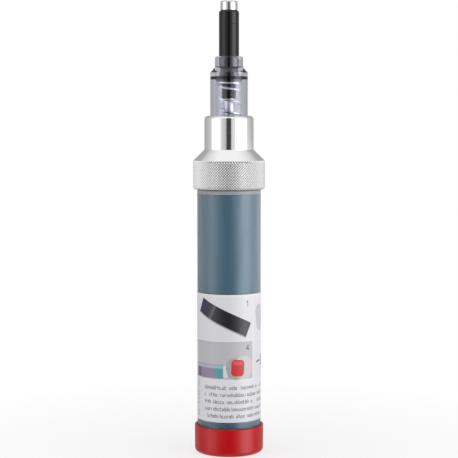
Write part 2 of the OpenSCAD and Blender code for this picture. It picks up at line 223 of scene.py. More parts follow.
class PumpSettings(bpy.types.PropertyGroup):
    """Clear housing, black plunger, fixed piston and springs."""
    cavity_radius: length("Cavity", "Radius of the clear housing's cavity", 7.6)
    body_height: length("Body height", "Height of the clear body above the collar", 23.5)
    shoulder_height: length("Shoulder height", "Height of the clear shoulder", 3)
    guide_radius: length("Neck radius", "Radius of the clear neck", 7.75)
    guide_round: length("Neck rounding", "Rounding of the clear neck's top edge", 1.2)
    shoulder_round: length("Shoulder rounding", "Rounding of the clear shoulder's edge", 0.5)
    guide_fillet: length("Neck fillet", "Hollow rounding between the clear neck and the shoulder", 1)
    running_gap: length("Running gap", "Room between sliding pieces", 0.05)
    plunger_radius: length("Plunger", "Radius of the black plunger", 5.5)
    plunger_bore: length("Plunger bore", "Radius of the plunger's bore", 3.05)
    chamber_rest: length("Chamber", "Room over the piston when the plunger is pushed in", 1)
    skirt_radius: length("Skirt", "Radius of the skirt below the plunger's flange", 3.9)
    flange: length("Flange", "Thickness of the plunger's flange", 0.9)
    ring_squeeze: length("Stop ring squeeze", "How far the stop ring presses into the clear wall", 0.02)
    ring_round: length("Stop ring rounding", "Rounding of the stop ring's outer edges", 0.25)
    outlet_pocket: length("Outlet pocket", "Radius of the pocket round the outlet ball", 2.6)
    outlet_bore: length("Outlet bore", "Radius of the passage under that ball", 1.2)
    outlet_length: length("Outlet length", "Length of that passage", 1.5)
    spigot_radius: length("Spigot", "Radius of the spigot under the nozzle holder", 4)
    piston_radius: length("Piston", "Radius of the fixed piston", 3)
    piston_groove: length("Seal groove", "Depth of the groove for the piston's seal", 0.8)
    piston_bore: length("Piston bore", "Radius of the piston's bore", 1.3)
    foot_radius: length("Piston foot", "Radius of the piston's screwed foot", 4)
    hexagon: length("Hexagon", "Width across the flats of the piston's hexagon", 9.5)
    hexagon_height: length("Hexagon height", "Height of that hexagon", 3)
    hexagon_bevel: length("Hexagon bevel", "Width of the bevel round its top", 0.5)
    wire: length("Wire", "Diameter of the return spring's wire", 1.25)
    turns: share("Turns", "Turns of the return spring", 6.5)
    end_bearing: angle("Spring end", "Bearing of the return spring's upper end", 140)
    inlet_wire: length("Inlet wire", "Diameter of the inlet valve spring's wire", 0.25)
    outlet_wire: length("Outlet wire", "Diameter of the outlet valve spring's wire", 0.3)
    valve_turns: share("Valve turns", "Turns of each valve spring", 6)
    clear: colour("Clear plastic", "Tint of the housing", (0.86, 0.87, 0.95))
    black: colour("Black plastic", "Colour of the plunger and the nozzle holder", srgb(13, 12, 14))


class NozzleSettings(bpy.types.PropertyGroup):
    """Black holder and steel mouthpiece."""
    holder_bevel: length("Holder bevel", "Bevel of the holder's top edge", 0.9)
    shank_radius: length("Shank", "Radius of the mouthpiece's shank in the holder", 4.1)
    tip_round: length("Tip rounding", "Rounding of the mouthpiece's top edge", 1)
    mouth_radius: length("Mouth", "Radius of the cupped mouth", 3.35)
    mouth_depth: length("Mouth depth", "Depth of the cupped mouth", 2)
    mouth_cone: length("Mouth cone", "Depth of the cone under the mouth", 1.2)
    bore: length("Bore", "Radius of the grease passage", 1.25)
    steel: colour("Steel", "Colour of the bright steel", (0.74, 0.75, 0.77))


class StageSettings(bpy.types.PropertyGroup):
    """Camera, floor and studio light."""
    distance: length("Camera distance", "Distance of the camera from the axis", 818.5)
    height: length("Camera height", "Height of the camera above the floor", 185.9)
    aim: length("Aim height", "Height on the axis that the camera looks at", 124)
    lens: FloatProperty(name="Lens", description="Focal length", default=116.8, min=1, unit="CAMERA")
    floor_radius: length("Floor radius", "Radius of the pale floor", 450)
    wall: share("Walls", "Brightness of the white walls", 1.05)
    left: share("Left softbox", "Brightness of the softbox on the left, over the wall's", 1.0)
    right: share("Right softbox", "Brightness of the softbox on the right, over the wall's", 3.0)
    card: share("Card", "Brightness of the low white card on the right, over the wall's", 1.0)
    shade: share("Shade", "Brightness of the dark gap at the camera", 0.05)


class ApplicatorSettings(bpy.types.PropertyGroup):
    """All settings of the applicator."""
    cap: PointerProperty(type=EndCapSettings)
    cartridge: PointerProperty(type=CartridgeSettings)
    head: PointerProperty(type=HeadSettings)
    pump: PointerProperty(type=PumpSettings)
    nozzle: PointerProperty(type=NozzleSettings)
    stage: PointerProperty(type=StageSettings)


def settings():
    """The settings of the open scene."""
    return bpy.context.scene.applicator


# Modelling, as by hand

def arc(centre_r, centre_z, radius, start, end, steps, height=None):
    """Points of a rounded corner, from one angle to another in degrees. It is oval if its height is given."""
    angles = [radians(start + (end - start) * step / steps) for step in range(steps + 1)]
    return [(centre_r + radius * cos(a), centre_z + (height or radius) * sin(a)) for a in angles]


def choose(piece):
    """Makes a piece the active one and the only one selected."""
    bpy.ops.object.select_all(action="DESELECT")
    bpy.context.view_layer.objects.active = piece
    piece.select_set(True)


def weld():
    """Merges doubles all over the piece in edit mode, and leaves all of it selected."""
    bpy.ops.mesh.select_all(action="SELECT")
    bpy.ops.mesh.remove_doubles(threshold=WELD)
    bpy.ops.mesh.select_all(action="SELECT")


def drawn(name, outline, bearing=0.0):
    """Draws a closed outline of (radius, height) points, vertex after vertex, and stays in edit mode."""
    bpy.ops.mesh.primitive_plane_add(size=MM, location=(0, 0, 0))
    piece = bpy.context.object
    piece.name = piece.data.name = name
    bpy.ops.object.mode_set(mode="EDIT")
    bpy.ops.mesh.merge(type="CENTER")
    across, along = cos(bearing), sin(bearing)
    first_r, first_z = outline[0]
    bpy.ops.transform.translate(value=(first_r * across, first_r * along, first_z))
    for (last_r, last_z), (r, z) in zip(outline, outline[1:] + outline[:1]):
        step = ((r - last_r) * across, (r - last_r) * along, z - last_z)
        bpy.ops.mesh.extrude_vertices_move(TRANSFORM_OT_translate={"value": step})
    weld()
    return piece


def disc(corners, radius, level):
    """Lays a filled circle across the axis and stays in edit mode."""
    bpy.ops.mesh.primitive_circle_add(
        vertices=corners, radius=radius, fill_type="NGON", location=(0, 0, 0),
    )
    bpy.ops.object.mode_set(mode="EDIT")
    bpy.ops.transform.translate(value=(0, 0, level))
    return bpy.context.object


def closed(piece):
    """Merges doubles, turns the faces outwards and shades a piece that is in edit mode."""
    weld()
    bpy.ops.mesh.normals_make_consistent(inside=False)
    bpy.ops.object.mode_set(mode="OBJECT")
    bpy.ops.object.shade_smooth_by_angle(angle=CREASE)
    return piece


def turned(name, outline, steps=128, bearing=0.0, sweep=FULL_TURN):
    """Spins a closed outline round the axis, as on a lathe."""
    piece = drawn(name, outline, bearing)
    bpy.ops.mesh.spin(steps=steps, angle=sweep, center=(0, 0, 0), axis=(0, 0, 1))
    if sweep < FULL_TURN:
        weld()
        bpy.ops.mesh.fill_holes(sides=0)
    return closed(piece)


def apply_modifier(piece, kind, **values):
    """Adds a modifier with these values to a piece and applies it."""
    choose(piece)
    modifier = piece.modifiers.new(kind.title(), kind)
    for name, value in values.items():
        setattr(modifier, name, value)
    bpy.ops.object.modifier_apply(modifier=modifier.name)


def softened(piece):
    """Breaks the sharp edges of a piece."""
    apply_modifier(
        piece, "BEVEL", width=SOFT_EDGE, segments=2, limit_method="ANGLE", angle_limit=SHARP,
        use_clamp_overlap=True,
    )
    bpy.ops.object.shade_smooth_by_angle(angle=CREASE)
    return piece


def join(piece, other):
    """Joins another piece into one."""
    choose(piece)
    other.select_set(True)
    bpy.ops.object.join()


def pick(piece, test):
    """Goes into edit mode with the vertices selected whose place passes a test."""
    choose(piece)
    bpy.ops.object.mode_set(mode="EDIT")
    bpy.ops.mesh.select_all(action="DESELECT")
    bpy.ops.object.mode_set(mode="OBJECT")
    for vertex in piece.data.vertices:
        vertex.select = test(vertex.co)
    bpy.ops.object.mode_set(mode="EDIT")


def thread(name, core, crest, start, pitch):
    """A right-handed screw ridge from its core to its crest, its root sunk into the wall."""
    turns, steps = 3, 96
    flat = pitch / 8
    flank = 0.6 * abs(crest - core)
    root = core + 0.15 * (core - crest)
    outline = [
        (root, start),
        (crest, start + flank),
        (crest, start + flank + flat),
        (root, start + 2 * flank + flat),
    ]
    piece = drawn(name, outline)
    bpy.ops.object.mode_set(mode="OBJECT")
    apply_modifier(
        piece, "SCREW", axis="Z", angle=FULL_TURN, screw_offset=pitch, iterations=turns,
        steps=steps, render_steps=steps,
    )
    bpy.ops.object.mode_set(mode="EDIT")
    bpy.ops.mesh.select_all(action="SELECT")
    bpy.ops.mesh.fill_holes(sides=0)
    return closed(piece)


def wound(name, bottom, top, radius, wire, turns, hand=1, end_bearing=0.0, per_turn=40):
    """A compression spring with a closed, ground turn at each end, which rises by about its wire."""
    seat = 0.22 * wire
    rise = 1.02 * wire
    pitch = (top - bottom - 2 * seat - 2 * rise) / (turns - 2)
    rings = ceil(turns * per_turn)

    def level(turn):
        if turn < 1:
            return bottom + seat + turn * rise
        if turn > turns - 1:
            return top - seat - (turns - turn) * rise
        return bottom + seat + rise + (turn - 1) * pitch

    bpy.ops.curve.primitive_nurbs_path_add(radius=radius, location=(0, 0, 0))
    coil = bpy.context.object
    coil.name = coil.data.name = name
    coil.data.bevel_depth = wire / 2
    coil.data.bevel_resolution = 3
    coil.data.use_fill_caps = True
    coil.data.splines.clear()
    path = coil.data.splines.new("POLY")
    path.points.add(rings)
    for step, point in enumerate(path.points):
        turn = turns * step / rings
        bearing = end_bearing - hand * FULL_TURN * (turns - turn)
        point.co = (radius * cos(bearing), radius * sin(bearing), level(turn), 1)
    bpy.ops.object.convert(target="MESH")
    coil = bpy.context.object
    bpy.ops.object.mode_set(mode="EDIT")
    weld()
    for height, side in ((bottom, False), (top, True)):
        bpy.ops.mesh.select_all(action="SELECT")
        bpy.ops.mesh.bisect(
            plane_co=(0, 0, height), plane_no=(0, 0, 1), use_fill=True,
            clear_inner=not side, clear_outer=side, threshold=WELD,
        )
    return closed(coil)


def paint(piece, slot):
    """Gives a piece the finish of a material slot."""
    piece.data.materials.clear()
    piece.data.materials.append(finish(slot))


def dress(piece, body, slot, node):
    """Evens a piece's shading, gives it its finish and fixes it to its body, in place of its node."""
    apply_modifier(piece, "WEIGHTED_NORMAL", keep_sharp=True)
    paint(piece, slot)
    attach(piece, body)
    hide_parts(node)


# Shader maths

class Value:
    """A shader socket that takes part in sums: each sum adds the Math node that works it out."""

    def __init__(self, shader, socket):
        self.shader = shader
        self.socket = socket

    def __add__(self, other):
        return self.shader.math("ADD", self, other)

    def __radd__(self, other):
        return self.shader.math("ADD", other, self)

    def __sub__(self, other):
        return self.shader.math("SUBTRACT", self, other)

    def __rsub__(self, other):
        return self.shader.math("SUBTRACT", other, self)

    def __mul__(self, other):
        return self.shader.math("MULTIPLY", self, other)

    def __rmul__(self, other):
        return self.shader.math("MULTIPLY", other, self)

    def __truediv__(self, other):
        return self.shader.math("DIVIDE", self, other)

    def __gt__(self, other):
        return self.shader.math("GREATER_THAN", self, other)

    def __lt__(self, other):
        return self.shader.math("LESS_THAN", self, other)


def rgba(tint):
    """A colour as a socket takes it, from a socket or three numbers."""
    return tint if isinstance(tint, Value) else (*tint, 1)


def scaled(tint, factor):
    """A lighter or darker colour."""
    return [min(factor * part, 1) for part in tint]


class Shader:
    """Nodes of one material or world."""

    def __init__(self, owner):
        owner.use_nodes = True
        self.owner = owner
        self.tree = owner.node_tree
        self.tree.nodes.clear()

    def node(self, kind, setup=None, inputs=None, outputs=(0,)):
        """Adds a node: its setup first, then the values or links of its inputs. Gives back its outputs."""
        node = self.tree.nodes.new("ShaderNode" + kind)
        for name, value in (setup or {}).items():
            if name == "stops":
                self.set_stops(node.color_ramp, value)
            else:
                setattr(node, name, value)
        for name, value in (inputs or {}).items():
            if isinstance(value, Value):
                self.tree.links.new(value.socket, node.inputs[name])
            else:
                node.inputs[name].default_value = value
        values = [Value(self, node.outputs[name]) for name in outputs if node.outputs]
        return values[0] if len(values) == 1 else values

    @staticmethod
    def set_stops(ramp, stops):
        """Replaces a ramp's stops by (position, grey) pairs."""
        while len(ramp.elements) > 1:
            ramp.elements.remove(ramp.elements[-1])
        for index, (position, grey) in enumerate(stops):
            element = ramp.elements[0] if index == 0 else ramp.elements.new(position)
            element.position = position
            element.color = (grey, grey, grey, 1)

    def math(self, operation, *values, clamp=False):
        return self.node("Math", {"operation": operation, "use_clamp": clamp}, dict(enumerate(values)))

    def vector(self, operation, *values):
        return self.node("VectorMath", {"operation": operation}, dict(enumerate(values)))

    def length(self, vector):
        return self.node("VectorMath", {"operation": "LENGTH"}, {0: vector}, ("Value",))

    def mix(self, factor, under, over):
        """Mixes two colours."""
        inputs = {0: factor, 6: rgba(under), 7: rgba(over)}
        return self.node("Mix", {"data_type": "RGBA"}, inputs, (2,))

    def place(self, stretch=(1, 1, 1)):
        """Object coordinates in millimetres, as one vector, times a number along each axis."""
        metres = self.node("TexCoord", outputs=("Object",))
        scale = [factor / MM for factor in stretch]
        return self.node("Mapping", inputs={"Vector": metres, "Scale": scale})

    def parts(self, vector):
        """The three numbers of a vector."""
        return self.node("SeparateXYZ", inputs={0: vector}, outputs=("X", "Y", "Z"))

    def noise(self, scale=1.0, detail=3.0, stretch=(1, 1, 1), roughness=0.5):
        """Clouds or grain, about as many to the millimetre as the scale says."""
        place = self.place(stretch)
        return self.node(
            "TexNoise", inputs={"Vector": place, "Scale": scale, "Detail": detail, "Roughness": roughness},
        )

    def between(self, value, bottom, top, soft=0.05):
        """1 between two levels and 0 outside them."""
        rise = self.math("DIVIDE", value - bottom, soft, clamp=True)
        fall = self.math("DIVIDE", top - value, soft, clamp=True)
        return rise * fall

    def bump(self, height, depth):
        return self.node("Bump", inputs={"Height": height, "Strength": 1.0, "Distance": depth})

    def principled(self, **sockets):
        """A Principled shader, its sockets named in words joined by underscores."""
        inputs = {}
        for name, value in sockets.items():
            title = name.replace("_", " ").title().replace("Ior", "IOR")
            inputs[title] = rgba(value) if title.endswith("Color") else value
        return self.node("BsdfPrincipled", inputs=inputs)

    def blend(self, factor, under, over):
        """Mixes two shaders."""
        return self.node("MixShader", inputs={0: factor, 1: under, 2: over})

    def ended(self, shader):
        """Ends a material with a shader."""
        self.node("OutputMaterial", inputs={"Surface": shader})
        return self.owner

    def surface(self, **sockets):
        """Ends a material with a Principled shader."""
        return self.ended(self.principled(**sockets))


# Finishes

def red_plastic(shader):
    """Satin moulded plastic, a little mottled."""
    red = settings().cap.red
    cloud = shader.noise(scale=0.35)
    grain = shader.noise(scale=7.0, detail=2.0)
    return shader.surface(
        base_color=shader.mix(cloud, scaled(red, 0.9), scaled(red, 1.08)),
        roughness=0.18 + 0.08 * cloud,
        specular_ior_level=0.35,
        normal=shader.bump(grain, 0.004 * MM),
    )


def frosted_plastic(shader):
    """Translucent blown plastic: the grease shows through it, and it is paler above the grease."""
    tube = settings().cartridge
    z = shader.parts(shader.place())[2]
    streaks = shader.noise(stretch=(0.8, 0.8, 0.03))
    grain = shader.noise(scale=5.0)
    skin = shader.bump(streaks + 0.15 * grain, 0.02 * MM)
    clear = shader.principled(
        base_color=shader.mix(streaks, scaled(tube.frost, 0.94), tube.frost),
        roughness=0.28 + 0.10 * streaks,
        transmission_weight=1.0,
        ior=PLASTIC_IOR,
        coat_weight=0.3,
        coat_roughness=0.4,
        normal=skin,
    )
    dry = shader.principled(
        base_color=shader.mix(grain, scaled(tube.bare, 0.9), tube.bare),
        roughness=0.4,
        transmission_weight=0.2,
        ior=PLASTIC_IOR,
        normal=skin,
    )
    above = shader.math("DIVIDE", z - high("grease_fill") / MM + 0.2, 0.4, clamp=True)
    return shader.ended(shader.blend(above, clear, dry))


def grease(shader):
    """Soft grease with trapped air and wiped streaks."""
    tint = settings().cartridge.grease
    cloud = shader.noise(stretch=(0.12, 0.12, 0.05), detail=4.0)
    air = shader.noise(scale=1.6, detail=2.0)
    return shader.surface(
        base_color=shader.mix(cloud, scaled(tint, 0.8), scaled(tint, 1.2)),
        roughness=0.38 + 0.2 * air,
        normal=shader.bump(air, 0.08 * MM),
    )


def white_plastic(shader):
    """Natural moulded plastic."""
    cloud = shader.noise(scale=0.6, detail=2.0)
    return shader.surface(
        base_color=shader.mix(cloud, srgb(214, 213, 206), srgb(226, 226, 222)),
        roughness=0.42 + 0.1 * cloud,
    )


def black_rubber(shader):
    """Moulded rubber."""
    grain = shader.noise(scale=4.0)
    return shader.surface(
        base_color=shader.mix(grain, srgb(7, 7, 8), srgb(14, 14, 15)),
        roughness=0.5 + 0.2 * grain,
        specular_ior_level=0.05,
        normal=shader.bump(grain, 0.006 * MM),
    )


def turning_lines(shader, fineness):
    """Fine rings that a lathe tool leaves, unequal from one to the next."""
    return shader.noise(stretch=(0.02, 0.02, fineness), roughness=0.7)


def aluminium(shader):
    """Polished turned metal, rougher on the knurled ring; the knurl's grooves get painted shade and the ring
    is painted lighter.
    """
    head = settings().head
    x, y, z = shader.parts(shader.place())
    lines = turning_lines(shader, 9.0)
    smudge = shader.noise(scale=0.25)
    foot = low("adapter_head") / MM
    ring = shader.between(z, foot, foot + head.ring_height / MM - 0.3)
    radius = shader.length(shader.node("CombineXYZ", inputs={0: x, 1: y}))
    depth = head.knurl_depth / MM
    # Painted shade: the colour darkens with depth in the knurl's grooves, where shade falls
    groove = shader.math("DIVIDE", reach("adapter_head") / MM - radius, depth, clamp=True) * ring
    # Painted light: the knurled ring gets a lighter copy of the metal's colour than the rest of the head
    ring_painted_lighter = shader.mix(ring, head.metal, scaled(head.metal, 1.11))
    # Base colour: painted shade in the grooves, over the ring that is painted lighter
    return shader.surface(
        base_color=shader.mix(groove * groove, ring_painted_lighter, scaled(head.metal, 0.55)),
        metallic=1.0,
        roughness=0.08 + 0.06 * smudge + 0.12 * ring,
        normal=shader.bump(lines, 0.0025 * MM),
    )


def steel(shader):
    """Bright turned steel, polished on the mouthpiece and matt on the piston inside the pump, whose colour is
    painted lighter there.
    """
    shade = settings().nozzle.steel
    z = shader.parts(shader.place())[2]
    lines = turning_lines(shader, 7.0)
    smudge = shader.noise(scale=0.5)
    inside = z < high("piston_tube") / MM
    polished = shader.mix(smudge, scaled(shade, 0.94), shade)
    return shader.surface(
        # Painted light: the piston inside the pump gets a lighter copy of the steel's colour
        base_color=shader.mix(inside, polished, scaled(shade, 1.25)),
        metallic=1.0,
        roughness=0.16 + 0.08 * smudge + 0.27 * inside,
        normal=shader.bump(lines, 0.003 * MM),
    )


def spring_wire(shader):
    """Drawn wire, bright with faint draw marks."""
    smudge = shader.noise(scale=1.4)
    return shader.surface(
        base_color=shader.mix(smudge, (0.74, 0.74, 0.76), (0.86, 0.86, 0.88)),
        metallic=1.0,
        roughness=0.18 + 0.12 * smudge,
    )


def copper(shader):
    """Soft copper, slightly tarnished."""
    stain = shader.noise(scale=1.2)
    return shader.surface(
        base_color=shader.mix(stain, (0.42, 0.18, 0.10), (0.70, 0.36, 0.22)),
        metallic=1.0,
        roughness=0.3 + 0.15 * stain,
    )


def clear_plastic(shader):
    """Polished clear plastic with a faint cool tint."""
    smudge = shader.noise(scale=0.4)
    return shader.surface(
        base_color=settings().pump.clear,
        roughness=0.01 + 0.03 * smudge,
        transmission_weight=1.0,
        ior=PLASTIC_IOR,
    )


def black_plastic(shader):
    """Smooth black plastic with fine rubbing marks along its stroke."""
    black = settings().pump.black
    marks = shader.noise(stretch=(2.5, 2.5, 0.08))
    return shader.surface(
        base_color=shader.mix(marks, black, scaled(black, 1.5)),
        roughness=0.16 + 0.08 * marks,
        specular_ior_level=0.36,
        normal=shader.bump(marks, 0.004 * MM),
    )


class Print(Shader):
    """A label's print: inks laid over each other on the unrolled paper, in millimetres from its foot."""

    SOFT = 0.12

    def __init__(self, owner, paper):
        super().__init__(owner)
        x, y, z = self.parts(self.place())
        self.up = z - low("label") / MM
        self.across = self.math("ARCTAN2", x, 0 - y) * (reach("label") / MM)
        self.flat = self.node("CombineXYZ", inputs={0: self.across, 1: self.up})
        self.ink = paper

    def block(self, ink, x, y, width, height, corner=0.2, turn=0.0):
        """Prints one round-cornered shape with its centre at x, y."""
        local = self.node(
            "Mapping", {"vector_type": "TEXTURE"},
            {"Vector": self.flat, "Location": (x, y, 0), "Rotation": (0, 0, radians(turn))},
        )
        inner = (width / 2 - corner, height / 2 - corner, 1)
        outside = self.vector("SUBTRACT", self.vector("ABSOLUTE", local), inner)
        distance = self.length(self.vector("MAXIMUM", outside, (0, 0, 0)))
        self.lay(self.math("ADD", (corner - distance) / self.SOFT, 0.5, clamp=True), ink)

    def lay(self, mask, ink):
        """Prints one ink through a mask."""
        self.ink = self.mix(mask, self.ink, ink)

    def number(self, figure, x, y, height, ink):
        """A plain number drawn with straight strokes, its lower left corner at x, y."""
        pen = 0.14 * height
        points = [(x + across * height, y + up * height) for across, up in NUMBER_STROKES[figure]]
        for (x0, y0), (x1, y1) in zip(points, points[1:]):
            slope = degrees(atan2(y1 - y0, x1 - x0))
            stroke = hypot(x1 - x0, y1 - y0) + pen
            self.block(ink, (x0 + x1) / 2, (y0 + y1) / 2, stroke, pen, pen / 2, slope)

    def words(self, left, right, bottom, rows, pitch, ink):
        """Rows of greeked text: random stems and bars with gaps between the words, which say nothing."""
        letter, pen, small, tall = 1.3, 0.33, 1.5, 0.75
        first, last = 0.1, 0.8
        row = self.math("FLOOR", (self.up - bottom) / pitch)
        level = self.up - bottom - row * pitch
        cell = self.math("FLOOR", self.across / letter)
        inside = self.across - cell * letter

        def some(seed, rest):
            """1 in some of the cells and 0 in this share of them, drawn by a seed."""
            return self.random(cell, row + seed) > rest

        tower = tall * some(80, 0.68)
        stem = self.between(level, 0, small + tower) * self.between(inside, first, first + pen)
        second = self.between(level, 0, small) * self.between(inside, last, last + pen) * some(40, 0.3)
        foot = self.between(level, 0, pen) * some(120, 0.5)
        brow = self.between(level, small - pen, small) * some(160, 0.35)
        bars = self.math("MAXIMUM", foot, brow) * self.between(inside, first, last + pen)
        strokes = self.math("MAXIMUM", self.math("MAXIMUM", stem, second), bars)
        area = self.between(self.across, left, right) * self.between(self.up, bottom, bottom + rows * pitch)
        self.lay(strokes * some(0, 0.14) * area, ink)

    def random(self, column, row):
        """A fixed random number for each cell of a grid."""
        cell = self.node("CombineXYZ", inputs={0: column, 1: row})
        return self.node("TexWhiteNoise", {"noise_dimensions": "2D"}, {"Vector": cell})


NUMBER_STROKES = {
    1: ((0.1, 0.78), (0.32, 1), (0.32, 0)),
    2: ((0.04, 0.8), (0.18, 1), (0.42, 1), (0.54, 0.75), (0.04, 0), (0.56, 0)),
    3: ((0.05, 1), (0.52, 1), (0.26, 0.6), (0.52, 0.42), (0.5, 0.14), (0.3, 0), (0.04, 0.08)),
    4: ((0.42, 0), (0.42, 1), (0, 0.3), (0.58, 0.3)),
    5: ((0.52, 1), (0.1, 1), (0.06, 0.55), (0.4, 0.6), (0.54, 0.3), (0.36, 0), (0.04, 0.08)),
    6: ((0.46, 1), (0.12, 0.55), (0.05, 0.2), (0.28, 0), (0.52, 0.2), (0.36, 0.5), (0.1, 0.42)),
}


def label_paper(shader):
    """Coated paper with six numbered fields of plain shapes over rows of greeked text."""
    white = srgb(232, 231, 234)
    pale = srgb(227, 226, 229)
    grey = srgb(192, 191, 195)
    sheet = Print(shader.owner, white)
    column, field, middle = 38.0, 36.8, -4.2
    columns = (middle, middle + column, middle - column)
    upper, lower = 56.9, 34.2
    for x in columns:
        sheet.block(pale, x, upper, field, 23.4, 0.3)
        sheet.block(grey if x == middle else pale, x, lower, field, 20.6, 0.3)
    strip_picture(sheet)
    tube_picture(sheet)
    side_pictures(sheet)
    for figure in NUMBER_STROKES:
        x = columns[(figure - 1) % 3] + field / 2 - 4.2
        y = upper + 6.8 if figure < 4 else lower + 5.3
        sheet.number(figure, x, y, height=2.9, ink=srgb(74, 72, 78))
    sheet.words(left=-15.2, right=34.0, bottom=2.4, rows=5, pitch=3.92, ink=srgb(34, 32, 38))
    sheet.words(left=-23.0, right=-20.0, bottom=2.2, rows=10, pitch=2.1, ink=srgb(150, 149, 156))
    fibre = sheet.noise(scale=3.0, detail=4.0)
    return sheet.surface(
        base_color=sheet.ink,
        roughness=0.38 + 0.12 * fibre,
        normal=sheet.bump(fibre, 0.004 * MM),
        coat_weight=0.15,
        coat_roughness=0.2,
    )


def strip_picture(sheet):
    """First field: a broad dark strip that falls to the right, with a sheen across it."""
    fall, breadth = -25, 8.8
    sheet.block(srgb(16, 14, 24), -3.4, 57.3, 32.0, breadth, 0.4, fall)
    sheet.block(srgb(30, 28, 68), -16.0, 63.2, 4.2, breadth, 0.4, fall)
    sheet.block(srgb(84, 78, 92), -9.6, 60.2, 1.3, breadth, 0.3, fall)
    sheet.block(srgb(48, 44, 58), -10.8, 60.7, 1.0, breadth, 0.3, fall)
    sheet.block(srgb(44, 40, 46), 9.0, 51.5, 5.0, breadth, 0.4, fall)
    sheet.block(srgb(168, 168, 174), -5.0, 53.5, 31.0, 0.7, 0.3, fall)


def tube_picture(sheet):
    """Fourth field: a lilac tube with a teal end that lies beside a red cap on a pale disc."""
    level, breadth = 28.1, 7.6
    top = level + breadth / 2
    sheet.block(srgb(146, 134, 156), -15.4, level, 15.0, breadth)
    sheet.block(srgb(186, 178, 198), -15.4, top - 1.2, 15.0, 1.8)
    sheet.block(srgb(110, 100, 124), -20.6, level - 1.2, 4.6, breadth - 2.4)
    sheet.block(srgb(86, 158, 164), -5.6, level, 4.8, breadth)
    sheet.block(srgb(146, 200, 202), -5.6, top - 1.2, 4.8, 1.8)
    sheet.block(srgb(226, 226, 228), -2.0, level, 2.4, breadth - 1.0, 0.6)
    sheet.block(srgb(172, 170, 172), 4.2, 29.7, 11.6, 12.0, 5.2, 10)
    sheet.block(srgb(214, 206, 206), 8.4, 30.3, 10.6, 12.6, 4.6, -6)
    sheet.block(srgb(206, 44, 44), 4.9, 30.0, 7.4, 9.2, 2.2, -3)
    sheet.block(srgb(224, 82, 76), 4.9, 32.7, 5.4, 2.0, 0.9, -3)


def side_pictures(sheet):
    """The other four fields: plain shapes in the same colours."""
    slate, silver = srgb(96, 92, 108), srgb(196, 196, 201)
    lilac, teal, red = srgb(166, 156, 182), srgb(104, 166, 172), srgb(196, 52, 52)
    sheet.block(silver, 21.5, 56.7, 8.0, 15.0, 3.8, 8)
    sheet.block(slate, 33.0, 55.7, 14.0, 4.6, 2.0, 28)
    sheet.block(slate, 20.0, 32.7, 4.4, 0.9, 0.3, 10)
    sheet.block(lilac, 29.0, 32.7, 12.0, 6.4, 0.6)
    sheet.block(teal, 40.0, 32.7, 7.6, 7.6, 3.7)
    sheet.block(slate, -48.0, 56.7, 9.0, 14.0, 1.6, -12)
    sheet.block(silver, -35.0, 54.7, 11.0, 6.0, 2.8, 18)
    sheet.block(lilac, -44.0, 32.7, 17.0, 6.0, 0.8, 10)
    sheet.block(red, -31.0, 33.7, 6.0, 9.0, 2.0, 10)


FINISHES = {
    make.__name__: make
    for make in (
        red_plastic, frosted_plastic, label_paper, grease, white_plastic, black_rubber, aluminium, steel,
        spring_wire, copper, clear_plastic, black_plastic,
    )
}


def finish(slot):
    """The finish of a material slot, made on its first use."""
    name = slot + "_finish"
    return bpy.data.materials.get(name) or FINISHES[slot](Shader(bpy.data.materials.new(name)))


# Operators, one for each piece or group of like pieces

class APPLICATOR_OT_end_cap(bpy.types.Operator):
    """Turn the red end cap"""
    bl_idname = "applicator.end_cap"
    bl_label = "End cap"

    def execute(self, context):
        cap = settings().cap
        top = high("end_cap")
        outer = reach("end_cap")
        foot = outer - cap.draft
        inner = outer - cap.wall
        rim = cap.rim_round
        gate_floor = 0.8 * cap.gate_radius
        outline = [
            (0, cap.gate_depth),
            (gate_floor, cap.gate_depth),
            (cap.gate_radius, 0),
            *arc(foot - cap.foot_round, cap.foot_round, cap.foot_round, -90, 0, 8),
            *arc(outer - rim, top - rim, rim, 0, 90, 4),
            *arc(inner + rim, top - rim, rim, 90, 180, 4),
            (inner, cap.floor),
            (0, cap.floor),
        ]
        dress(turned("red_end_cap", outline), "end_cap", "red_plastic", "end_cap")
        return {"FINISHED"}


class APPLICATOR_OT_cartridge(bpy.types.Operator):
    """Turn the frosted cartridge tube and cut its thread"""
    bl_idname = "applicator.cartridge"
    bl_label = "Cartridge tube"

    def execute(self, context):
        tube = settings().cartridge
        outer = reach("cartridge_tube")
        inner = outer - tube.wall
        foot = low("cartridge_tube")
        mouth = high("cartridge_tube")
        shoulder = mouth - tube.neck_height
        neck = outer - tube.neck_step
        bore = neck - tube.neck_wall
        edge = tube.edge
        outline = [
            (inner, foot),
            (outer, foot),
            *arc(outer - edge, shoulder - edge, edge, 0, 90, 4),
            (neck, shoulder),
            (neck, mouth - edge),
            (neck - edge, mouth),
            (bore, mouth),
            (bore, shoulder),
            (inner, shoulder - tube.shoulder),
        ]
        piece = turned("frosted_tube", outline)
        start = shoulder + tube.thread_start
        ridge = thread("neck_thread", neck, neck + tube.thread_height, start, tube.thread_pitch)
        join(piece, ridge)
        dress(piece, "cartridge", "frosted_plastic", "cartridge_tube")
        return {"FINISHED"}


class APPLICATOR_OT_label(bpy.types.Operator):
    """Wrap the printed label round the cartridge"""
    bl_idname = "applicator.label"
    bl_label = "Label"

    def execute(self, context):
        tube = settings().cartridge
        outer = reach("label")
        inner = outer - tube.label_paper
        bottom, top = span("label")
        outline = [(inner, bottom), (outer, bottom), (outer, top), (inner, top)]
        seam = (FULL_TURN - tube.label_wrap) / 2
        piece = turned("paper_label", outline, steps=176, bearing=pi / 2 + seam, sweep=tube.label_wrap)
        dress(piece, "cartridge", "label_paper", "label")
        return {"FINISHED"}


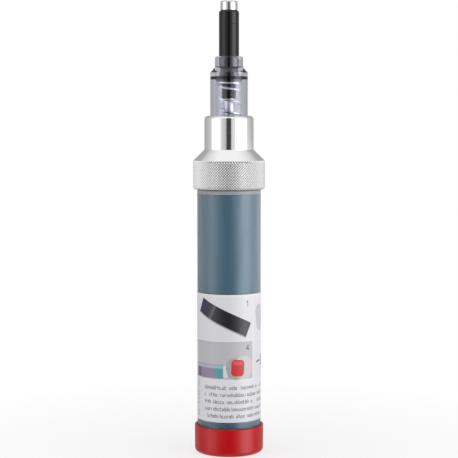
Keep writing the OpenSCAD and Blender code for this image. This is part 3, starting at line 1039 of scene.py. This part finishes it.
class APPLICATOR_OT_grease(bpy.types.Operator):
    """Fill the cartridge with grease"""
    bl_idname = "applicator.grease"
    bl_label = "Grease"

    def execute(self, context):
        radius = reach("grease_fill")
        bottom, top = span("grease_fill")
        sag = settings().cartridge.sag
        outline = [
            (0, bottom),
            (radius, bottom),
            (radius, top - 0.2 * sag),
            (radius - sag, top),
            (radius - 3 * sag, top - 0.4 * sag),
            (radius / 2, top - sag),
            (0, top - 0.8 * sag),
        ]
        piece = turned("grease_column", outline)
        dress(piece, "cartridge", "grease", "grease_fill")
        keep = kept_share("grease_fill", "follower_slide")
        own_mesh(piece)
        return {"FINISHED"}


class APPLICATOR_OT_follower(bpy.types.Operator):
    """Turn the follower under the grease"""
    bl_idname = "applicator.follower"
    bl_label = "Follower"

    def execute(self, context):
        tube = settings().cartridge
        outer = reach("follower_piston")
        waist = outer - tube.follower_waist
        inner = waist - tube.follower_wall
        bottom, top = span("follower_piston")
        lip, slope = tube.follower_lip, tube.follower_waist
        outline = [
            (inner, bottom),
            (waist, bottom),
            (outer, bottom + slope),
            (outer, bottom + lip),
            (waist, bottom + lip + slope),
            (waist, top - lip - slope),
            (outer, top - lip),
            (outer, top - slope),
            (waist, top),
            (0, top),
            (0, top - tube.follower_crown),
            (inner, top - tube.follower_crown),
        ]
        piece = softened(turned("follower_cup", outline, steps=96))
        dress(piece, "follower", "white_plastic", "follower_piston")
        return {"FINISHED"}


class APPLICATOR_OT_head(bpy.types.Operator):
    """Turn the aluminium head and knurl its ring"""
    bl_idname = "applicator.head"
    bl_label = "Adapter head"

    def execute(self, context):
        head = settings().head
        tube = settings().cartridge
        pump = settings().pump
        ring = reach("adapter_head")
        bottom, top = span("adapter_head")
        core = ring - head.ring_wall
        cone = bottom + head.ring_height
        collar_foot = cone + head.cone_height
        socket = reach("housing_seal") + pump.running_gap
        collar = socket + head.collar_wall
        floor = low("housing_seal")
        foot = low("piston_tube")
        foot_socket = pump.foot_radius + pump.running_gap
        roof = high("cartridge_gasket") + pump.running_gap
        passage = 0.7 * reach("inlet_ball")
        pocket = reach("inlet_ball") + head.pocket_gap
        seat = low("inlet_ball")
        rounding = head.ring_round
        cell = head.knurl_pitch / 2
        steps = 2 * round(FULL_TURN * ring / cell / 2)
        rows = round((cone - bottom - rounding) / cell)
        lift = (cone - bottom - rounding) / rows
        edge = arc(ring - rounding, bottom + rounding, rounding, -90, 0, 4)
        wall = [(ring, bottom + rounding + lift * row) for row in range(1, rows + 1)]
        outline = [
            (core, bottom + tube.edge),
            (core + tube.edge, bottom),
            *edge,
            *wall,
            (collar, collar_foot),
            *arc(
                socket + head.collar_lip, top - head.collar_round,
                head.collar_wall - head.collar_lip, 0, 90, 8, head.collar_round,
            ),
            (socket + BREAK, top),
            (socket, top - BREAK),
            (socket, floor),
            (foot_socket, floor),
            (foot_socket, foot),
            (pocket, foot),
            (pocket, seat + pocket - passage),
            (passage, seat),
            (passage, (seat + roof) / 2),
            (head.funnel_radius, roof),
            (core, roof),
        ]
        piece = turned("knurled_head", outline, steps)
        slope = head.cone_height / (ring - collar)
        self.knurl(piece, edge[-2:] + wall, steps, head.knurl_depth, slope)
        shoulder = high("cartridge_tube") - tube.neck_height
        start = shoulder + tube.thread_start + tube.thread_pitch / 2
        ridge = thread("ring_thread", core, core - tube.thread_height, start, tube.thread_pitch)
        join(piece, ridge)
        dress(piece, "head", "aluminium", "adapter_head")
        return {"FINISHED"}

    def knurl(self, piece, rows, steps, depth, slope):
        """Presses every other point of these rows in, and lifts those of the top row onto the cone."""
        ring, top = rows[-1]
        inward = 1 - depth / ring

        def pressed(place):
            radius = hypot(place.x, place.y)
            for row, (row_radius, height) in enumerate(rows):
                if abs(place.z - height) < NEAR and abs(radius - row_radius) < NEAR:
                    step = round(atan2(place.y, place.x) / FULL_TURN * steps)
                    return (row + step) % 2 == 1
            return False

        def run_out(place):
            sunk = ring - hypot(place.x, place.y)
            return abs(place.z - top) < NEAR and abs(sunk - depth) < depth / 2

        pick(piece, pressed)
        bpy.ops.transform.resize(value=(inward, inward, 1), center_override=(0, 0, 0))
        bpy.ops.mesh.select_more()
        bpy.ops.mesh.quads_convert_to_tris(quad_method="SHORTEST_DIAGONAL")
        bpy.ops.object.mode_set(mode="OBJECT")
        pick(piece, run_out)
        bpy.ops.transform.translate(value=(0, 0, slope * depth))
        closed(piece)


class APPLICATOR_OT_housing(bpy.types.Operator):
    """Turn the clear pump housing"""
    bl_idname = "applicator.housing"
    bl_label = "Pump housing"

    def execute(self, context):
        pump = settings().pump
        outer = reach("pump_housing")
        bottom, top = span("pump_housing")
        shoulder = high("adapter_head") + pump.body_height
        neck = shoulder + pump.shoulder_height
        cavity_top = high("stop_ring")
        bore = pump.plunger_radius + pump.running_gap
        edge, fillet, rounding = pump.shoulder_round, pump.guide_fillet, pump.guide_round
        guide = pump.guide_radius
        turn = atan2(outer - guide, pump.shoulder_height)
        tangent = tan(turn / 2)
        outline = [
            (pump.cavity_radius, bottom),
            (outer, bottom),
            *arc(outer - edge, shoulder - edge * tangent, edge, 0, degrees(turn), 4),
            *arc(guide + fillet, neck + fillet * tangent, fillet, 180 + degrees(turn), 180, 6),
            *arc(guide - rounding, top - rounding, rounding, 0, 90, 6),
            (bore + BREAK, top),
            (bore, top - BREAK),
            (bore, cavity_top),
            (pump.cavity_radius, cavity_top),
        ]
        dress(turned("clear_housing", outline, steps=160), "head", "clear_plastic", "pump_housing")
        return {"FINISHED"}


class APPLICATOR_OT_plunger(bpy.types.Operator):
    """Turn the black plunger and its rubber stop ring"""
    bl_idname = "applicator.plunger"
    bl_label = "Plunger"

    def execute(self, context):
        pump = settings().pump
        skirt = low("plunger_tube")
        spigot = high("plunger_tube")
        ring_low, ring_high = span("stop_ring")
        holder = low("nozzle_holder")
        ball = low("outlet_ball")
        chamber = high("piston_tube") + joint_travel("plunger_slide") + pump.chamber_rest
        outline = [
            (pump.plunger_bore, skirt),
            (pump.skirt_radius, skirt),
            (pump.skirt_radius, ring_low - pump.flange),
            (reach("plunger_tube"), ring_low - pump.flange),
            (reach("plunger_tube"), ring_low),
            (pump.plunger_radius, ring_low),
            (pump.plunger_radius, holder),
            (pump.spigot_radius, holder),
            (pump.spigot_radius, spigot),
            (pump.outlet_pocket, spigot),
            (pump.outlet_pocket, ball + pump.outlet_pocket - pump.outlet_bore),
            (pump.outlet_bore, ball),
            (pump.outlet_bore, ball - pump.outlet_length),
            (pump.plunger_bore, chamber),
        ]
        dress(softened(turned("black_plunger", outline)), "plunger", "black_plastic", "plunger_tube")
        snug = pump.cavity_radius + pump.ring_squeeze
        edge = pump.ring_round
        bore = pump.plunger_radius + pump.running_gap
        outline = [
            (bore, ring_low),
            *arc(snug - edge, ring_low + edge, edge, -90, 0, 4),
            *arc(snug - edge, ring_high - edge, edge, 0, 90, 4),
            (bore, ring_high),
        ]
        dress(turned("rubber_stop_ring", outline), "plunger", "black_rubber", "stop_ring")
        return {"FINISHED"}


class APPLICATOR_OT_nozzle(bpy.types.Operator):
    """Turn the nozzle holder and the steel mouthpiece"""
    bl_idname = "applicator.nozzle"
    bl_label = "Nozzle"

    def execute(self, context):
        nozzle = settings().nozzle
        pump = settings().pump
        gap = pump.running_gap
        holder_low, holder_high = span("nozzle_holder")
        outer = reach("nozzle_holder")
        web = high("plunger_tube") + gap
        shank = low("nozzle_tip")
        outline = [
            (pump.spigot_radius + gap, holder_low),
            (outer, holder_low),
            (outer, holder_high - nozzle.holder_bevel),
            (outer - nozzle.holder_bevel, holder_high),
            (nozzle.shank_radius + gap, holder_high),
            (nozzle.shank_radius + gap, shank - gap),
            (pump.outlet_pocket, shank - gap),
            (pump.outlet_pocket, web),
            (pump.spigot_radius + gap, web),
        ]
        dress(softened(turned("black_holder", outline)), "plunger", "black_plastic", "nozzle_holder")
        top = high("nozzle_tip")
        tip = reach("nozzle_tip")
        rounding = nozzle.tip_round
        outline = [
            (nozzle.bore, shank),
            (nozzle.shank_radius, shank),
            (nozzle.shank_radius, holder_high),
            (tip - BREAK, holder_high),
            (tip, holder_high + BREAK),
            *arc(tip - rounding, top - rounding, rounding, 0, 90, 6),
            (nozzle.mouth_radius + BREAK, top),
            (nozzle.mouth_radius, top - BREAK),
            (nozzle.mouth_radius, top - nozzle.mouth_depth),
            (nozzle.bore, top - nozzle.mouth_depth - nozzle.mouth_cone),
        ]
        dress(turned("steel_mouthpiece", outline), "plunger", "steel", "nozzle_tip")
        return {"FINISHED"}


class APPLICATOR_OT_piston(bpy.types.Operator):
    """Turn the fixed piston and mill its hexagon"""
    bl_idname = "applicator.piston"
    bl_label = "Piston"

    def execute(self, context):
        pump = settings().pump
        bottom, top = span("piston_tube")
        hexagon = high("foot_gasket")
        seal_low, seal_high = span("piston_seal")
        groove = pump.piston_radius - pump.piston_groove
        outline = [
            (pump.piston_bore, bottom),
            (pump.foot_radius, bottom),
            (pump.foot_radius, hexagon),
            (pump.piston_radius, hexagon),
            (pump.piston_radius, seal_low),
            (groove, seal_low),
            (groove, seal_high),
            (pump.piston_radius, seal_high),
            (pump.piston_radius, top),
            (pump.piston_bore, top),
        ]
        piece = softened(turned("steel_piston", outline, steps=96))
        join(piece, self.hexagon(hexagon, pump))
        dress(piece, "head", "steel", "piston_tube")
        return {"FINISHED"}

    def hexagon(self, bottom, pump):
        """A hexagon with its corners chamfered at the top."""
        corner = pump.hexagon / 2 / cos(pi / 6)
        drop = pump.hexagon_bevel / 2
        rise = (0, 0, pump.hexagon_height - drop)
        nut = disc(6, corner, bottom)
        bpy.ops.mesh.extrude_region_move(TRANSFORM_OT_translate={"value": rise})
        bpy.ops.mesh.inset(thickness=pump.hexagon_bevel, depth=drop)
        return closed(nut)


class APPLICATOR_OT_springs(bpy.types.Operator):
    """Wind the return spring and the two valve springs"""
    bl_idname = "applicator.springs"
    bl_label = "Springs"

    def execute(self, context):
        pump = settings().pump
        bottom, top = span("return_spring")
        coil = coil_radius("return_spring", pump.wire)
        spring = wound(
            "return_coil", bottom, top, coil, pump.wire, pump.turns, hand=-1, end_bearing=pump.end_bearing,
        )
        dress(spring, "head", "spring_wire", "return_spring")
        keep = kept_share("return_spring", "plunger_slide")
        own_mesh(spring)
        valves = (
            ("inlet_spring", "head", "inlet_lift", pump.inlet_wire),
            ("outlet_spring", "plunger", "outlet_lift", pump.outlet_wire),
        )
        for node, body, joint, wire in valves:
            bottom, top = span(node)
            coil = coil_radius(node, wire)
            spring = wound(node + "_coil", bottom, top, coil, wire, pump.valve_turns, per_turn=24)
            dress(spring, body, "spring_wire", node)
            keep = kept_share(node, joint)
            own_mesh(spring)
        return {"FINISHED"}


class APPLICATOR_OT_inner_parts(bpy.types.Operator):
    """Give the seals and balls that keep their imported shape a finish"""
    bl_idname = "applicator.inner_parts"
    bl_label = "Seals and balls"

    def execute(self, context):
        slots = {part["node"]: part["material_slot"] for part in frame["record"]["subparts"]}
        for node, piece in frame["nodes"].items():
            paint(piece, slots[node])
        return {"FINISHED"}


class APPLICATOR_OT_stage(bpy.types.Operator):
    """Set up the floor, the studio light and the camera"""
    bl_idname = "applicator.stage"
    bl_label = "Stage"

    def execute(self, context):
        stage = settings().stage
        context.scene.view_settings.view_transform = "Standard"
        self.lay_floor(stage)
        self.light(context.scene, stage)
        self.place_camera(context.scene, stage)
        return {"FINISHED"}

    def lay_floor(self, stage):
        """A pale floor that keeps the shadow and goes with the cap. Gloss sees the room in its place."""
        floor = disc(96, stage.floor_radius, -FLOOR_GAP)
        floor.name = "studio_floor"
        bpy.ops.object.mode_set(mode="OBJECT")
        shader = Shader(bpy.data.materials.new("pale_floor"))
        radius = shader.length(shader.node("TexCoord", outputs=("Object",)))
        far = shader.math("DIVIDE", radius, stage.floor_radius / 2, clamp=True)
        camera, glossy, through = shader.node(
            "LightPath", outputs=("Is Camera Ray", "Is Glossy Ray", "Is Transmission Ray"),
        )
        seen = shader.math("MAXIMUM", camera, through)
        diffuse = shader.node("BsdfDiffuse", inputs={"Color": (0.84, 0.84, 0.84, 1)})
        glow = shader.node("Emission", inputs={"Color": (1, 1, 1, 1), "Strength": 1.0})
        pale = shader.blend(seen * (0.7 + 0.3 * far), diffuse, glow)
        room = shader.node("BsdfTransparent")
        floor.data.materials.append(shader.ended(shader.blend(glossy, pale, room)))
        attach(floor, "end_cap")

    def light(self, scene, stage):
        """A white room: tall softboxes, a low card on the right, a dark gap and a flag at the camera."""
        wall, half, dim, shade = stage.wall, 0.58 * stage.wall, 0.4 * stage.wall, stage.shade
        walls = (
            (-180, dim), (-145, dim), (-100, half), (-66, wall), (-14, 0.5 * wall), (-11, shade),
            (9, shade), (12, 0.7 * wall), (66, wall), (100, half), (145, dim), (180, dim),
        )
        boxes = (
            (-180, 0), (-92, 0), (-70, stage.left), (-56, stage.left), (-36, 0),
            (28, 0), (52, stage.right), (68, stage.right), (94, 0), (180, 0),
        )
        shader = Shader(bpy.data.worlds.new("studio"))
        scene.world = shader.owner
        # On the dome z runs from -1, straight down, to 1, and the bearing from 0 to 1 with the camera at 0.5
        x, y, z = shader.parts(shader.node("TexCoord", outputs=("Generated",)))
        bearing = shader.math("ARCTAN2", x, 0 - y) / FULL_TURN + 0.5
        side = self.round_about(shader, bearing, walls)
        strip = self.round_about(shader, bearing, boxes) * shader.between(z, -0.4, 0.3, 0.1)
        card = self.panel(shader, bearing, z, (66, 160), (-0.16, -0.02), 0.03)
        flag = self.panel(shader, bearing, z, (-40, 32), (-0.34, -0.15), 0.05)
        ceiling = shader.math("DIVIDE", z - 0.55, 0.4, clamp=True)
        ground = shader.math("DIVIDE", -0.4 - z, 0.2, clamp=True)
        level = (side + strip + stage.card * card) * (1 - flag) + shade * flag
        level = level * (1 - ceiling - ground) + ceiling + ground
        brightest = stage.wall + max(stage.left, stage.right)
        dome = shader.mix(level / brightest, (0, 0, 0), (0.985, 0.985, 1.0))
        studio = shader.node("Background", inputs={"Color": dome, "Strength": brightest})
        white = shader.node("Background", inputs={"Color": (1, 1, 1, 1), "Strength": 1.0})
        camera = shader.node("LightPath", outputs=("Is Camera Ray",))
        shader.node("OutputWorld", inputs={"Surface": shader.blend(camera, studio, white)})

    def round_about(self, shader, bearing, levels):
        """Brightness round the horizon, from pairs of a bearing in degrees and a level."""
        brightest = max(level for angle, level in levels)
        stops = [(0.5 + angle / 360, level / brightest) for angle, level in levels]
        return shader.node("ValToRGB", {"stops": stops}, {"Fac": bearing}) * brightest

    def panel(self, shader, bearing, z, sides, levels, soft):
        """Mask of a panel between two bearings in degrees and two levels, with soft upper and lower edges."""
        left, right = (0.5 + side / 360 for side in sides)
        return shader.between(bearing, left, right) * shader.between(z, *levels, soft)

    def place_camera(self, scene, stage):
        """A long lens a little above the applicator's middle."""
        camera = bpy.data.cameras.new("camera")
        camera.lens = stage.lens
        camera.sensor_width = SENSOR
        camera.clip_start = 10 * MM
        eye = bpy.data.objects.new("camera", camera)
        scene.collection.objects.link(eye)
        eye.location = (0, -stage.distance, stage.height)
        sight = Vector((0, 0, stage.aim)) - eye.location
        eye.rotation_euler = sight.to_track_quat("-Z", "Y").to_euler()
        scene.camera = eye


PIECES = (
    APPLICATOR_OT_end_cap, APPLICATOR_OT_cartridge, APPLICATOR_OT_label, APPLICATOR_OT_grease,
    APPLICATOR_OT_follower, APPLICATOR_OT_head, APPLICATOR_OT_housing, APPLICATOR_OT_plunger,
    APPLICATOR_OT_nozzle, APPLICATOR_OT_piston, APPLICATOR_OT_springs, APPLICATOR_OT_inner_parts,
    APPLICATOR_OT_stage,
)


class APPLICATOR_PT_pieces(bpy.types.Panel):
    """Lists the applicator's pieces"""
    bl_label = "Grease applicator"
    bl_idname = "APPLICATOR_PT_pieces"
    bl_space_type = "VIEW_3D"
    bl_region_type = "UI"
    bl_category = "Applicator"

    def draw(self, context):
        for piece in PIECES:
            self.layout.operator(piece.bl_idname)


CLASSES = (
    EndCapSettings, CartridgeSettings, HeadSettings, PumpSettings, NozzleSettings, StageSettings,
    ApplicatorSettings, *PIECES, APPLICATOR_PT_pieces,
)


def register():
    for cls in CLASSES:
        bpy.utils.register_class(cls)
    bpy.types.Scene.applicator = PointerProperty(type=ApplicatorSettings)


def unregister():
    del bpy.types.Scene.applicator
    for cls in reversed(CLASSES):
        bpy.utils.unregister_class(cls)


def main():
    register()
    for piece in PIECES:
        family, name = piece.bl_idname.split(".")
        getattr(getattr(bpy.ops, family), name)()


if __name__ == "__main__":
    main()
